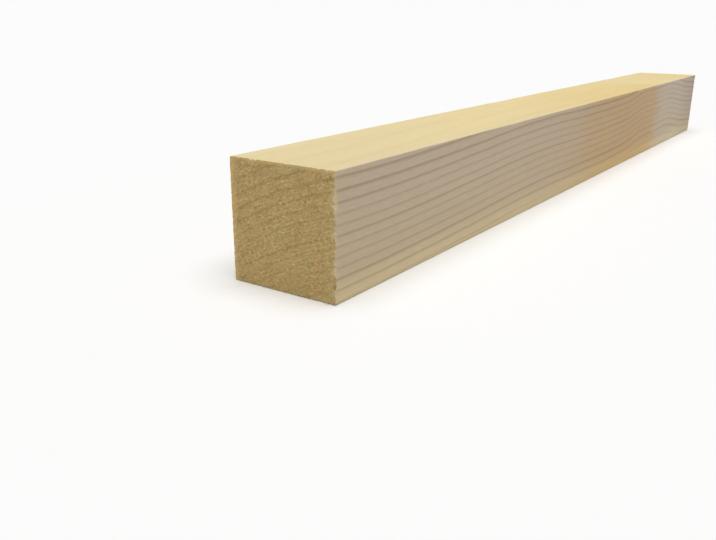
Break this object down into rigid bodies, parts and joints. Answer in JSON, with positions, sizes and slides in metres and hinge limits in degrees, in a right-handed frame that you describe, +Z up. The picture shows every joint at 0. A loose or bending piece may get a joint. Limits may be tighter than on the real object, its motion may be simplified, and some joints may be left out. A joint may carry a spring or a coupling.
{
  "type": "square timber plank",
  "caption": "Straight length of planed softwood timber with a square section, eased long edges and crosscut ends, for framing and battening.",
  "frame": {"origin": "middle of the underside, on the surface that the timber lies on", "axes": "+X along the grain, from the end that is near in the picture to the far end; -Y out of the long side that shows in the picture; +Z up"},
  "size_m": [0.5, 0.045, 0.045],
  "materials": {
    "softwood": "bare planed softwood, matt, with sawn ends"
  },
  "bodies": {
    "root": {"timber_plank": "softwood"}
  },
  "joints": []
}
